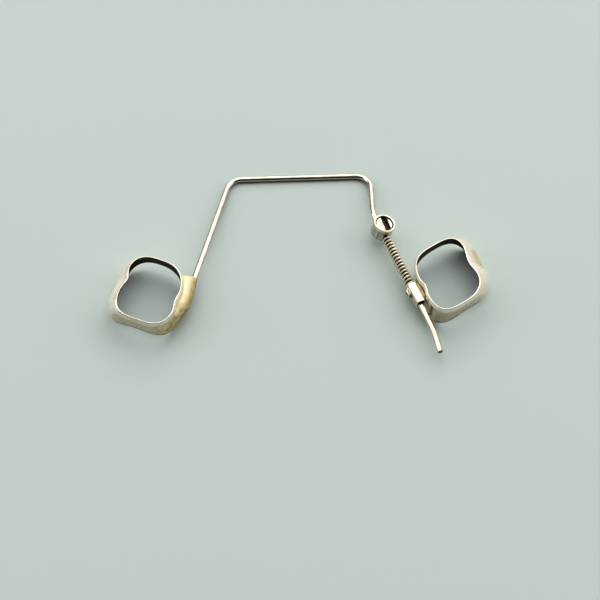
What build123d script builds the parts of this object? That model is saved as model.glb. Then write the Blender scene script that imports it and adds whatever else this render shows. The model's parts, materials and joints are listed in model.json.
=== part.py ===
# A lingual arch that regains molar space: two molar bands joined by one bent wire. The wire is soldered to
# the left band. On the right a screw stop on the wire backs an open coil spring, which pushes a sheath
# that is welded to the right band along the wire.
# Millimetres and degrees. +Z up, +Y towards the front of the mouth, +X towards the right band as seen from
# above and behind. The appliance stands on the gum-side margins of its bands and on its front wire. The
# origin lies on that floor, under the middle of the whole appliance.

import os
from math import cos, exp, hypot, pi, radians, sin

from build123d import *

# Arch wire
wire_dia = 0.9
front_mid_x = 0.07
front_mid_y = 15.35
front_width = 21.74
front_slant = 2.0
front_bend_radius = 2.4
left_leg_angle = -14.0
left_leg_length = 19.45
soldered_length = 5.0
right_side_angle = 0.7
right_side_length = 8.06
guide_angle = 22.2
guide_bend_radius = 4.5
guide_height = 2.0
bend_to_stop = 3.27
tail_straight = 1.45
tail_radius = 30.0
tail_turn = 11.0
tail_stub = 0.95
tail_chamfer = 0.1

# Molar bands: the rim outline, and how far the wall stands outside it at the bulge and at the lower margin
band_wall = 0.18
band_height = 4.2
rim_length = 10.5
rim_width = 8.8
outline_points = 40
wall_steps = 6
bulge_height = 1.75
bulge_proximal = 0.38
bulge_lingual = 0.08
margin_proximal = 0.15
margin_lingual = 0.05
bulge_groove_share = 0.2
scoop_radius = 6.5
scoop_rise = 2.0

# The left crown's own form
left_corner_power = 2.8
left_back_cheek_power = 4.0
left_skew = 0.125
left_bulge_buccal = 1.5
left_margin_buccal = 1.1
left_buccal_groove_depth = 0.65
left_buccal_groove_ahead = 0.53
left_buccal_groove_width = 1.3
left_lingual_groove_depth = 0.3
left_lingual_groove_ahead = -0.41
left_lingual_groove_width = 1.2

# The right crown's own form
right_corner_power = 3.3
right_back_cheek_power = 2.7
right_skew = 0.19
right_bulge_buccal = 1.95
right_margin_buccal = 1.65
right_buccal_groove_depth = 0.75
right_buccal_groove_ahead = -0.1
right_buccal_groove_width = 2.2
right_lingual_groove_depth = 0.35
right_lingual_groove_ahead = 0.11
right_lingual_groove_width = 0.9

# Left solder joint
solder_film = 0.22
exit_to_left_middle = 4.43

# Screw stop
stop_lean = 14.0
stop_radius = 1.58
stop_rim_radius = 1.66
stop_rim_height = 0.5
stop_above_wire = 1.75
stop_below_wire = 1.0
stop_bottom_chamfer = 0.45
stop_wire_clearance = 0.05
screw_radius = 1.3
screw_clearance = 0.05
screw_recess = 0.2
screw_tip_clearance = 0.04
screw_tip_chamfer = 0.2
slot_width = 0.95
slot_depth = 0.5
slot_offset = 0.3
slot_turn = -5.0

# Open coil spring
spring_wire = 0.23
spring_wire_sides = 6
spring_steps_per_turn = 12
spring_inner = 1.04
spring_turns = 15.5
spring_length = 8.91
spring_end_gap = 0.03

# Sheath, weld flange and solder seam
sheath_length = 3.36
sheath_wall = 0.15
sheath_slot_height = 1.45
sheath_clearance = 0.08
sheath_edge_round = 0.25
sheath_front_to_middle = 1.17
lug_length = 1.4
lug_inset = 0.1
lug_reach = 0.45
lug_height = 1.0
lug_round = 0.2
flange_thickness = 0.1
flange_front_inset = 0.1
flange_behind = 1.5
flange_height = 1.9
flange_corner = 0.35
seam_radius = 0.3
seam_inset = 0.25

# Sizes that follow from those above
wire_radius = wire_dia / 2
rim_half_length = rim_length / 2
rim_half_width = rim_width / 2
spring_mean_radius = (spring_inner + spring_wire) / 2
sheath_slot_width = wire_dia + 2 * sheath_clearance
sheath_half_width = sheath_slot_width / 2 + sheath_wall
sheath_outer_height = sheath_slot_height + 2 * sheath_wall
sheath_mid_rise = sheath_slot_height / 2 - sheath_slot_width / 2
sheath_top_rise = sheath_mid_rise + sheath_outer_height / 2
sheath_start = stop_radius + 2 * spring_end_gap + spring_length
sheath_end = sheath_start + sheath_length


# A level direction, turned by an angle from straight back (-Y) towards the right (+X).
def heading(angle):
    return Vector(sin(radians(angle)), -cos(radians(angle)), 0)


# Corners of the wire
up = Vector(0, 0, 1)
climb = up * (guide_height - wire_radius)
front_mid = Vector(front_mid_x, front_mid_y, wire_radius)
front_half = Vector(cos(radians(front_slant)), sin(radians(front_slant)), 0) * (front_width / 2)
front_left = front_mid - front_half
front_right = front_mid + front_half
left_dir = heading(left_leg_angle)
left_exit = front_left + left_dir * left_leg_length + climb
left_end = left_exit + (left_exit - front_left).normalized() * soldered_length
guide_dir = heading(guide_angle)
guide_bend = front_right + heading(right_side_angle) * right_side_length + climb
stop_centre = guide_bend + guide_dir * bend_to_stop
guide_end = stop_centre + guide_dir * (sheath_end + tail_straight)

# Across the wire: the cheek side of the right guide and the tongue side of the left leg
guide_cheek = up.cross(guide_dir)
left_tongue = up.cross(left_dir)

# Each crown's plane lies on the floor under the middle of its rim, with x towards the front. The cheek side
# is +y on the left crown and -y on the right one.
left_band_across = wire_radius + solder_film + bulge_lingual + rim_half_width
right_band_across = sheath_half_width + flange_thickness + bulge_lingual + rim_half_width
floor_drop = up * guide_height
left_middle = left_exit + left_dir * exit_to_left_middle - left_tongue * left_band_across - floor_drop
right_band_back = sheath_start + sheath_front_to_middle
right_middle = stop_centre + guide_dir * right_band_back + guide_cheek * right_band_across - floor_drop
left_crown = {
    "plane": Plane(origin=left_middle, x_dir=left_dir * -1, z_dir=up),
    "cheek_sign": 1,
    "corner_power": left_corner_power,
    "back_cheek_power": left_back_cheek_power,
    "skew": left_skew,
    "bulge_buccal": left_bulge_buccal,
    "margin_buccal": left_margin_buccal,
    "buccal_groove": (left_buccal_groove_depth, left_buccal_groove_ahead, left_buccal_groove_width),
    "lingual_groove": (left_lingual_groove_depth, left_lingual_groove_ahead, left_lingual_groove_width),
}
right_crown = {
    "plane": Plane(origin=right_middle, x_dir=guide_dir * -1, z_dir=up),
    "cheek_sign": -1,
    "corner_power": right_corner_power,
    "back_cheek_power": right_back_cheek_power,
    "skew": right_skew,
    "bulge_buccal": right_bulge_buccal,
    "margin_buccal": right_margin_buccal,
    "buccal_groove": (right_buccal_groove_depth, right_buccal_groove_ahead, right_buccal_groove_width),
    "lingual_groove": (right_lingual_groove_depth, right_lingual_groove_ahead, right_lingual_groove_width),
}


# A value at a height on the wall, on the one smooth curve through its values at the margin, bulge and rim.
def wall_value(height, at_margin, at_bulge, at_rim):
    to_bulge = height - bulge_height
    to_rim = height - band_height
    margin_term = at_margin * to_bulge * to_rim / (bulge_height * band_height)
    bulge_term = at_bulge * height * to_rim / (bulge_height * (bulge_height - band_height))
    rim_term = at_rim * height * to_bulge / (band_height * (band_height - bulge_height))
    return margin_term + bulge_term + rim_term


# The depth of a groove that runs down the wall, at a place along the band.
def groove_at(ahead, groove):
    depth, groove_ahead, width = groove
    return depth * exp(-(((ahead - groove_ahead) / width) ** 2))


# One crown section at a height: a squarish oval with a dip at each groove, skewed, then moved inwards.
def crown_outline(crown, height, inset):
    half_length = rim_half_length + wall_value(height, margin_proximal, bulge_proximal, 0)
    cheek_half = rim_half_width + wall_value(height, crown["margin_buccal"], crown["bulge_buccal"], 0)
    tongue_half = rim_half_width + wall_value(height, margin_lingual, bulge_lingual, 0)
    groove_share = wall_value(height, 0, bulge_groove_share, 1)
    outline = []
    for step in range(outline_points):
        turn = 2 * pi * step / outline_points
        on_cheek_side = sin(turn) > 0
        half_width = cheek_half if on_cheek_side else tongue_half
        power = crown["back_cheek_power"] if on_cheek_side and cos(turn) < 0 else crown["corner_power"]
        along_term = abs(cos(turn) / half_length) ** power
        across_term = abs(sin(turn) / half_width) ** power
        reach = (along_term + across_term) ** (-1 / power)
        ahead = reach * cos(turn)
        across = reach * sin(turn)
        if on_cheek_side:
            across -= groove_share * groove_at(ahead, crown["buccal_groove"])
        else:
            across += groove_share * groove_at(ahead, crown["lingual_groove"])
        outline.append((ahead + crown["skew"] * across, across))
    moved = []
    for step, (ahead, across) in enumerate(outline):
        before = outline[step - 1]
        after = outline[(step + 1) % outline_points]
        run = after[0] - before[0]
        rise = after[1] - before[1]
        length = hypot(run, rise)
        moved.append((ahead - inset * rise / length, across + inset * run / length))
    return moved


# The solid inside a crown's outer wall, or inside a wall moved inwards by the inset.
def crown_solid(crown, inset):
    with BuildPart() as solid:
        for step in range(wall_steps + 1):
            height = band_height * step / wall_steps
            outline = crown_outline(crown, height, inset)
            with BuildSketch(crown["plane"].offset(height)):
                with BuildLine():
                    Spline(*[(ahead, crown["cheek_sign"] * across) for ahead, across in outline], periodic=True)
                make_face()
        loft(ruled=True)
    return solid.part


# A band: the wall between two crown solids, with its gum-side margin scooped at the front and the back.
def molar_band(crown):
    plane = crown["plane"]
    scoop_across = crown["cheek_sign"] * (crown["margin_buccal"] - margin_lingual) / 2
    with BuildPart() as band:
        add(crown_solid(crown, 0))
        add(crown_solid(crown, band_wall), mode=Mode.SUBTRACT)
        with BuildSketch(Plane(origin=plane.origin, x_dir=plane.y_dir, z_dir=plane.x_dir)):
            with Locations((scoop_across, scoop_rise - scoop_radius)):
                Circle(scoop_radius)
        extrude(amount=rim_length, both=True, mode=Mode.SUBTRACT)
    return band


left_molar_band = molar_band(left_crown)
right_molar_band = molar_band(right_crown)

# Arch wire: left end, leg, front, right side, guide and curved tail
with BuildPart() as arch_wire:
    with BuildLine() as route:
        runs = FilletPolyline(
            left_end,
            front_left,
            front_right,
            guide_bend,
            guide_end,
            radius=[front_bend_radius, front_bend_radius, guide_bend_radius],
        )
        tail = JernArc(start=runs @ 1, tangent=runs % 1, radius=tail_radius, arc_size=-tail_turn)
        stub = Line(tail @ 1, tail @ 1 + (tail % 1) * tail_stub)
    with BuildSketch(Plane(origin=runs @ 0, z_dir=runs % 0)):
        Circle(wire_radius)
    sweep(path=route.line)
    tail_face = arch_wire.faces().sort_by_distance(stub @ 1)[0]
    chamfer(tail_face.edges(), length=tail_chamfer)

# Left solder joint: a lump along the wire's end and round the band's tongue side. Each section gives the
# distance behind the wire's entry, the cover over the wire, the reach to the cheek and the half height.
solder_sections = [
    (-0.25, 0.03, 1.3, 0.6),
    (0.3, 0.06, 2.7, 1.05),
    (1.4, 0.12, 2.4, 1.25),
    (3.2, 0.24, 1.95, 1.35),
    (5.2, 0.1, 1.9, 1.25),
    (7.0, -0.5, 2.0, 1.0),
    (8.5, -1.2, 2.2, 0.65),
]
with BuildPart() as left_solder_joint:
    for back, cover, cheek_reach, half_height in solder_sections:
        tongue_reach = wire_radius + cover
        section_origin = left_exit + left_dir * back
        with BuildSketch(Plane(origin=section_origin, x_dir=left_tongue, z_dir=left_dir)):
            with Locations(((tongue_reach - cheek_reach) / 2, 0)):
                Ellipse((tongue_reach + cheek_reach) / 2, half_height)
    loft(ruled=True)
    add(crown_solid(left_crown, 0), mode=Mode.SUBTRACT)
    add(arch_wire.part, mode=Mode.SUBTRACT)

# Screw stop: a turned collar that leans to the cheek, bored across for the wire and down for the screw
stop_axis = up * cos(radians(stop_lean)) + guide_cheek * sin(radians(stop_lean))
stop_plane = Plane(origin=stop_centre, x_dir=guide_dir, z_dir=stop_axis)
with BuildPart() as stop_collar:
    with BuildSketch(stop_plane.offset(-stop_below_wire)):
        Circle(stop_radius)
    extrude(amount=stop_below_wire + stop_above_wire)
    chamfer(stop_collar.edges().sort_by(Axis(stop_centre, stop_axis))[0], length=stop_bottom_chamfer)
    with BuildSketch(stop_plane.offset(stop_above_wire)):
        Circle(stop_rim_radius)
    extrude(amount=-stop_rim_height)
    with BuildSketch(stop_plane.offset(stop_above_wire)):
        Circle(screw_radius + screw_clearance)
    extrude(amount=-(stop_above_wire - wire_radius / 2), mode=Mode.SUBTRACT)
    with BuildSketch(Plane(origin=stop_centre, z_dir=guide_dir)):
        Circle(wire_radius + stop_wire_clearance)
    extrude(amount=stop_rim_radius, both=True, mode=Mode.SUBTRACT)

# Slotted set screw, its tip just above the wire
screw_tip_rise = wire_radius + screw_tip_clearance
screw_top_rise = stop_above_wire - screw_recess
with BuildPart() as stop_set_screw:
    with BuildSketch(stop_plane.offset(screw_tip_rise)):
        Circle(screw_radius)
    extrude(amount=screw_top_rise - screw_tip_rise)
    chamfer(stop_set_screw.edges().sort_by(Axis(stop_centre, stop_axis))[0], length=screw_tip_chamfer)
    with BuildSketch(stop_plane.offset(screw_top_rise)):
        with Locations((0, slot_offset)):
            Rectangle(3 * screw_radius, slot_width, rotation=slot_turn)
    extrude(amount=-slot_depth, mode=Mode.SUBTRACT)

# Open coil spring round the guide, between the stop and the sheath. Its fine wire is six-sided here, with
# straight steps round each turn, which keeps its many turns light.
spring_rise = spring_length - spring_wire
with BuildPart() as open_coil_spring:
    with BuildLine() as coil:
        turns = Helix(
            pitch=spring_rise / spring_turns,
            height=spring_rise,
            radius=spring_mean_radius,
            center=stop_centre + guide_dir * (stop_radius + spring_end_gap + spring_wire / 2),
            direction=guide_dir,
            lefthand=True,
        )
    sections = round(spring_turns * spring_steps_per_turn)
    for step in range(sections + 1):
        with BuildSketch(Plane(turns.location_at(step / sections))):
            RegularPolygon(spring_wire / 2, spring_wire_sides)
    loft(ruled=True)

# Sheath: a tall slotted tube on the wire, with a small lug on its tongue side
sheath_plane = Plane(origin=stop_centre + guide_dir * sheath_start, x_dir=guide_cheek, z_dir=guide_dir)
lug_inner = sheath_half_width - sheath_wall / 2
lug_outer = sheath_half_width + lug_reach
with BuildPart() as lingual_sheath:
    with BuildSketch(sheath_plane):
        with Locations((0, sheath_mid_rise)):
            RectangleRounded(2 * sheath_half_width, sheath_outer_height, sheath_edge_round)
            SlotOverall(sheath_slot_height, sheath_slot_width, rotation=90, mode=Mode.SUBTRACT)
    extrude(amount=sheath_length)
    with BuildSketch(Plane(origin=stop_centre - up * (lug_height / 2), x_dir=guide_dir, z_dir=up)):
        with BuildLine():
            lug_front = sheath_start + lug_inset
            Polyline(
                (lug_front, -lug_inner),
                (lug_front + lug_length, -lug_inner),
                (lug_front + lug_length, -lug_outer),
                (lug_front + lug_reach, -lug_outer),
                close=True,
            )
        make_face()
        fillet(vertices().group_by(Axis(stop_centre, guide_cheek))[0], lug_round)
    extrude(amount=lug_height)

# Weld flange: a thin tab that follows the right band's tongue side behind the sheath
flange_length = sheath_length - flange_front_inset + flange_behind
flange_middle = sheath_start + flange_front_inset + flange_length / 2
with BuildPart() as sheath_weld_flange:
    add(crown_solid(right_crown, -flange_thickness))
    add(crown_solid(right_crown, 0), mode=Mode.SUBTRACT)
    with BuildSketch(Plane(origin=stop_centre, x_dir=guide_dir, z_dir=guide_cheek * -1)):
        with Locations((flange_middle, sheath_mid_rise)):
            RectangleRounded(flange_length, flange_height, flange_corner)
    extrude(amount=rim_half_width, both=True, mode=Mode.INTERSECT)

# Solder seam: a bead along the sheath's upper edge, against the flange
with BuildPart() as sheath_solder_seam:
    with BuildSketch(sheath_plane.offset(seam_inset)):
        with Locations((sheath_half_width, sheath_top_rise)):
            Circle(seam_radius)
    extrude(amount=sheath_length - 2 * seam_inset)
    add(lingual_sheath.part, mode=Mode.SUBTRACT)
    add(crown_solid(right_crown, -flange_thickness), mode=Mode.SUBTRACT)

pieces = {
    "left_molar_band": left_molar_band,
    "left_solder_joint": left_solder_joint,
    "arch_wire": arch_wire,
    "stop_collar": stop_collar,
    "stop_set_screw": stop_set_screw,
    "open_coil_spring": open_coil_spring,
    "lingual_sheath": lingual_sheath,
    "sheath_weld_flange": sheath_weld_flange,
    "sheath_solder_seam": sheath_solder_seam,
    "right_molar_band": right_molar_band,
}
os.makedirs("parts", exist_ok=True)
for name, piece in pieces.items():
    piece.part.label = name
    export_step(piece.part, f"parts/{name}.step")
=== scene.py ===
import json
import math

import bmesh
import bpy
from mathutils import Matrix, Vector, noise


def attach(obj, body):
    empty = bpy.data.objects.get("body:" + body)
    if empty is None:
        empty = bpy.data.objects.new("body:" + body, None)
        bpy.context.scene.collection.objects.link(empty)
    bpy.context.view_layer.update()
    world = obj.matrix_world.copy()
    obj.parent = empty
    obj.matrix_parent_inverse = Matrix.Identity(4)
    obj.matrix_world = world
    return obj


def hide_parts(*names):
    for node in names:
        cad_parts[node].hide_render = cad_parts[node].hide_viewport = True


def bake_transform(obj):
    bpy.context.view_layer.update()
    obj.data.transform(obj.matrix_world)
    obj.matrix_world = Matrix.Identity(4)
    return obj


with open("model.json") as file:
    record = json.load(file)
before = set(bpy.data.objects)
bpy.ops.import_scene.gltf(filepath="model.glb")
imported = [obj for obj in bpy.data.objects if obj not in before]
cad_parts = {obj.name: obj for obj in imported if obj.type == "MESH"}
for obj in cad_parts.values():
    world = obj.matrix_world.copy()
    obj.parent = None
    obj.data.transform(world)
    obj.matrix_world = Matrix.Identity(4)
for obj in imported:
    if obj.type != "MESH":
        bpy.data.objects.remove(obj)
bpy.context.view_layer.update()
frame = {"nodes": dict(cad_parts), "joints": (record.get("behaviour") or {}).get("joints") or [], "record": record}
print("frame loaded with", len(frame["nodes"]), "nodes")

mm = 0.001
up = Vector((0, 0, 1))
onAxis = 1e-6  # a radius in millimetres that closes a turned shape on its axis

# Places that the frame gives: the band seats, the guide's direction and the stop's axis
seats = {mount["name"]: Vector(mount["pos_m"]) for mount in frame["record"]["mounts"]}
joints = {joint["name"]: joint for joint in frame["joints"]}
guideDir = Vector(joints["band_slide"]["axis"]).normalized()
guideCheek = up.cross(guideDir)
stopCentre = Vector(joints["set_screw_turn"]["pos_m"])
stopAxis = Vector(joints["set_screw_turn"]["axis"]).normalized()


def hexColour(code):
    channels = [int(code[i:i + 2], 16) / 255 for i in (1, 3, 5)]
    linear = [c / 12.92 if c <= 0.04045 else ((c + 0.055) / 1.055) ** 2.4 for c in channels]
    return (*linear, 1.0)


# Adds a node, sets its properties, and sets or links its inputs. stops fill a colour ramp, as
# positions and hex colours.
def addNode(tree, kind, inputs=None, stops=None, **settings):
    node = tree.nodes.new(kind)
    for name, value in settings.items():
        setattr(node, name, value)
    for socket, value in (inputs or {}).items():
        if isinstance(value, bpy.types.NodeSocket):
            tree.links.new(value, node.inputs[socket])
        else:
            node.inputs[socket].default_value = value
    if stops:
        ramp = node.color_ramp.elements
        while len(ramp) < len(stops):
            ramp.new(0.5)
        for element, (position, colour) in zip(ramp, stops):
            element.position = position
            element.color = hexColour(colour)
    return node


def newMaterial(name):
    material = bpy.data.materials.new(name)
    material.use_nodes = True
    material.node_tree.nodes.clear()
    return material, material.node_tree


# Object coordinates in millimetres, stretched along an axis where a pattern runs that way
def millimetres(tree, stretch=(1, 1, 1)):
    place = addNode(tree, "ShaderNodeTexCoord")
    scale = tuple(1000 / s for s in stretch)
    mapping = {"Vector": place.outputs["Object"], "Scale": scale}
    return addNode(tree, "ShaderNodeMapping", mapping).outputs["Vector"]


def closeMaterial(tree, colour, roughness, normal=None, metallic=1.0, gloss=0.5):
    inputs = {"Base Color": colour, "Roughness": roughness, "Metallic": metallic,
              "Specular IOR Level": gloss}
    if normal is not None:
        inputs["Normal"] = normal
    shader = addNode(tree, "ShaderNodeBsdfPrincipled", inputs)
    addNode(tree, "ShaderNodeOutputMaterial", {"Surface": shader.outputs["BSDF"]})


# Where nearly all values of a noise texture lie
noiseRange = {"From Min": 0.35, "From Max": 0.65}

# Rolled stainless strip, dulled to a warm matt cream by pumice and burnished bright along the rim,
# with cloudy patches and soft rub marks. The goldFlash attribute tints it where solder has run over
# the wall; the oliveShade attribute paints olive shade on the back walls and beside the cheek groove,
# and the grime attribute paints dark shade along the foot of the back walls and round the flange.
bandSteelLook = {
    "bright": "#FFF6E4", "cloudy": "#F0E3C8", "shadeOlive": "#A59C78", "flash": "#E2CC93",
    "stain": "#BC9D5A", "paintedShade": "#241E12", "cloudMm": 2.4, "flashPerMm": 0.9, "rubMm": 0.3,
    "rubLengthMm": 2.4, "rubDepthMm": 0.006, "smooth": 0.22, "rough": 0.38, "filmMetal": 0.45,
}


def makeBandSteel():
    look = bandSteelLook
    material, tree = newMaterial("rolledStainlessBand")
    place = millimetres(tree)
    cloud = addNode(tree, "ShaderNodeTexNoise", {
        "Vector": place, "Scale": 1 / look["cloudMm"], "Detail": 3.0})
    tint = addNode(tree, "ShaderNodeValToRGB", {"Fac": cloud.outputs["Fac"]},
                   stops=[(0.36, look["cloudy"]), (0.62, look["bright"])])
    streak = addNode(tree, "ShaderNodeTexNoise", {
        "Vector": place, "Scale": look["flashPerMm"], "Detail": 3.0})
    flashTint = addNode(tree, "ShaderNodeValToRGB", {"Fac": streak.outputs["Fac"]},
                        stops=[(0.34, look["stain"]), (0.58, look["flash"])])
    colour = tint.outputs["Color"]
    stainsAndShade = {"oliveShade": hexColour(look["shadeOlive"]), "goldFlash": flashTint.outputs["Color"],
              "paintedShade": hexColour(look["paintedShade"])}
    for label, stain in stainsAndShade.items():
        share = addNode(tree, "ShaderNodeAttribute", attribute_name=label)
        mixed = addNode(tree, "ShaderNodeMix", {0: share.outputs["Fac"], 6: colour, 7: stain},
                        data_type="RGBA")
        colour = mixed.outputs[2]
    rubs = millimetres(tree, stretch=(1, 1, look["rubLengthMm"] / look["rubMm"]))
    rub = addNode(tree, "ShaderNodeTexNoise", {
        "Vector": rubs, "Scale": 1 / look["rubMm"], "Detail": 2.0})
    bump = addNode(tree, "ShaderNodeBump", {
        "Height": rub.outputs["Fac"], "Strength": 0.5, "Distance": look["rubDepthMm"] * mm})
    rough = addNode(tree, "ShaderNodeMapRange", {
        "Value": cloud.outputs["Fac"], **noiseRange, "To Min": look["rough"],
        "To Max": look["smooth"]})
    rim = addNode(tree, "ShaderNodeAttribute", attribute_name="burnished")
    metal = addNode(tree, "ShaderNodeMapRange", {
        "Value": rim.outputs["Fac"], "To Min": look["filmMetal"]})
    closeMaterial(tree, colour, rough.outputs["Result"], bump.outputs["Normal"],
                  metal.outputs["Result"])
    return material


# The inside of a band is blasted so that cement holds, matt and a little gritty; its near-black colour is painted
# shade.
shadedInsideLook = {
    "light": "#332F28", "dark": "#16130F", "gritMm": 0.16, "patchMm": 1.6, "gritDepthMm": 0.02,
    "rough": 0.65, "metal": 0.15, "gloss": 0.15,
}


def makeShadedInside():
    look = shadedInsideLook
    material, tree = newMaterial("blastedInsidePaintedShade")
    place = millimetres(tree)
    patch = addNode(tree, "ShaderNodeTexNoise", {
        "Vector": place, "Scale": 1 / look["patchMm"], "Detail": 5.0})
    tint = addNode(tree, "ShaderNodeValToRGB", {"Fac": patch.outputs["Fac"]},
                   stops=[(0.35, look["dark"]), (0.68, look["light"])])
    grit = addNode(tree, "ShaderNodeTexNoise", {
        "Vector": place, "Scale": 1 / look["gritMm"], "Detail": 2.0})
    bump = addNode(tree, "ShaderNodeBump", {
        "Height": grit.outputs["Fac"], "Strength": 0.8, "Distance": look["gritDepthMm"] * mm})
    closeMaterial(tree, tint.outputs["Color"], look["rough"], bump.outputs["Normal"],
                  look["metal"], look["gloss"])
    return material


# Drawn stainless wire: bright, with faint lines along its length. The tarnish attribute paints shade
# on it where the spring covers it and on the lower flanks of the front run, and darkens the tail's cut end.
wireSteelLook = {
    "bright": "#E6DFCF", "grey": "#CCC3AE", "wireShade": "#2A2516", "cloudPerMm": 0.6, "lineMm": 0.1,
    "lineLengthMm": 3.0, "lineDepthMm": 0.006, "smooth": 0.06, "rough": 0.14,
}


def makeWireSteel():
    look = wireSteelLook
    material, tree = newMaterial("drawnStainlessWire")
    along = addNode(tree, "ShaderNodeAttribute", attribute_name="alongWire")
    around = addNode(tree, "ShaderNodeAttribute", attribute_name="aroundWire")
    alongLines = addNode(tree, "ShaderNodeMath", {
        0: along.outputs["Fac"], 1: 1000 / look["lineLengthMm"]}, operation="MULTIPLY")
    aroundLines = addNode(tree, "ShaderNodeMath", {
        0: around.outputs["Fac"], 1: 1000 / look["lineMm"]}, operation="MULTIPLY")
    lines = addNode(tree, "ShaderNodeCombineXYZ", {
        "X": alongLines.outputs[0], "Y": aroundLines.outputs[0]})
    line = addNode(tree, "ShaderNodeTexNoise", {
        "Vector": lines.outputs[0], "Scale": 1.0, "Detail": 2.0})
    cloud = addNode(tree, "ShaderNodeTexNoise", {
        "Vector": millimetres(tree), "Scale": look["cloudPerMm"], "Detail": 3.0})
    tint = addNode(tree, "ShaderNodeValToRGB", {"Fac": cloud.outputs["Fac"]},
                   stops=[(0.35, look["grey"]), (0.6, look["bright"])])
    wireShade = addNode(tree, "ShaderNodeAttribute", attribute_name="wireShade")
    colour = addNode(tree, "ShaderNodeMix", {
        0: wireShade.outputs["Fac"], 6: tint.outputs["Color"], 7: hexColour(look["wireShade"])},
        data_type="RGBA")
    rough = addNode(tree, "ShaderNodeMapRange", {
        "Value": cloud.outputs["Fac"], **noiseRange, "To Min": look["rough"],
        "To Max": look["smooth"]})
    bump = addNode(tree, "ShaderNodeBump", {
        "Height": line.outputs["Fac"], "Strength": 0.4, "Distance": look["lineDepthMm"] * mm})
    closeMaterial(tree, colour.outputs[2], rough.outputs["Result"], bump.outputs["Normal"])
    return material


# Fine hard-drawn spring wire: cream and bright, a little duller than the arch wire
springSteelLook = {
    "bright": "#FFF6DE", "dull": "#E6DAB8", "cloudMm": 0.9, "smooth": 0.22, "rough": 0.34, "metal": 0.65,
}


def makeSpringSteel():
    look = springSteelLook
    material, tree = newMaterial("hardDrawnSpringSteel")
    cloud = addNode(tree, "ShaderNodeTexNoise", {
        "Vector": millimetres(tree), "Scale": 1 / look["cloudMm"], "Detail": 3.0})
    tint = addNode(tree, "ShaderNodeValToRGB", {"Fac": cloud.outputs["Fac"]},
                   stops=[(0.35, look["dull"]), (0.6, look["bright"])])
    rough = addNode(tree, "ShaderNodeMapRange", {
        "Value": cloud.outputs["Fac"], "To Min": look["rough"], "To Max": look["smooth"]})
    closeMaterial(tree, tint.outputs["Color"], rough.outputs["Result"], metallic=look["metal"])
    return material


# Turned stainless: satin, with fine rings of tool marks round the stop's axis, and darker and
# streaked below the stop's rim
turnedSteelLook = {
    "bright": "#E2DBC9", "dull": "#B7AE97", "body": "#8C8670", "bodyBelowMm": 1.2, "bodyFadeMm": 0.05,
    "ringMm": 0.11, "ringDepthMm": 0.008, "cloudMm": 1.1, "streakMm": 0.35, "smooth": 0.18, "rough": 0.36,
}


def makeTurnedSteel():
    look = turnedSteelLook
    material, tree = newMaterial("turnedStainless")
    place = millimetres(tree)
    cloud = addNode(tree, "ShaderNodeTexNoise", {
        "Vector": place, "Scale": 1 / look["cloudMm"], "Detail": 4.0})
    tint = addNode(tree, "ShaderNodeValToRGB", {"Fac": cloud.outputs["Fac"]},
                   stops=[(0.34, look["dull"]), (0.62, look["bright"])])
    centre = addNode(tree, "ShaderNodeVectorMath", {0: place, 1: tuple(stopCentre / mm)},
                     operation="SUBTRACT")
    height = addNode(tree, "ShaderNodeVectorMath", {0: centre.outputs[0], 1: tuple(stopAxis)},
                     operation="DOT_PRODUCT")
    streakPlace = addNode(tree, "ShaderNodeVectorMath", {0: centre.outputs[0], 1: tuple(stopAxis)},
                          operation="CROSS_PRODUCT")
    streak = addNode(tree, "ShaderNodeTexNoise", {
        "Vector": streakPlace.outputs[0], "Scale": 1 / look["streakMm"], "Detail": 2.0})
    low = addNode(tree, "ShaderNodeMapRange", {
        "Value": height.outputs["Value"], "From Min": look["bodyBelowMm"] + look["bodyFadeMm"],
        "From Max": look["bodyBelowMm"] - look["bodyFadeMm"]})
    share = addNode(tree, "ShaderNodeMapRange", {"Value": streak.outputs["Fac"], **noiseRange})
    darkenedBelowRim = addNode(tree, "ShaderNodeMath", {0: low.outputs["Result"], 1: share.outputs["Result"]},
                     operation="MULTIPLY")
    colour = addNode(tree, "ShaderNodeMix", {
        0: darkenedBelowRim.outputs[0], 6: tint.outputs["Color"], 7: hexColour(look["body"])}, data_type="RGBA")
    rings = addNode(tree, "ShaderNodeMath", {
        0: height.outputs["Value"], 1: 2 * math.pi / look["ringMm"]}, operation="MULTIPLY")
    wave = addNode(tree, "ShaderNodeMath", {0: rings.outputs[0]}, operation="SINE")
    bump = addNode(tree, "ShaderNodeBump", {
        "Height": wave.outputs[0], "Strength": 0.35, "Distance": look["ringDepthMm"] * mm})
    rough = addNode(tree, "ShaderNodeMapRange", {
        "Value": cloud.outputs["Fac"], **noiseRange, "To Min": look["rough"],
        "To Max": look["smooth"]})
    closeMaterial(tree, colour.outputs[2], rough.outputs["Result"], bump.outputs["Normal"])
    return material


# Drawn and polished tube: a flat cream satin with fine rub lines along the guide
sheathSteelLook = {
    "bright": "#EDE6D6", "warm": "#D8CAA6", "cloudPerMm": 0.8, "lineMm": 0.12, "lineStretch": 16,
    "lineDepthMm": 0.008, "smooth": 0.2, "rough": 0.4,
}


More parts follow.
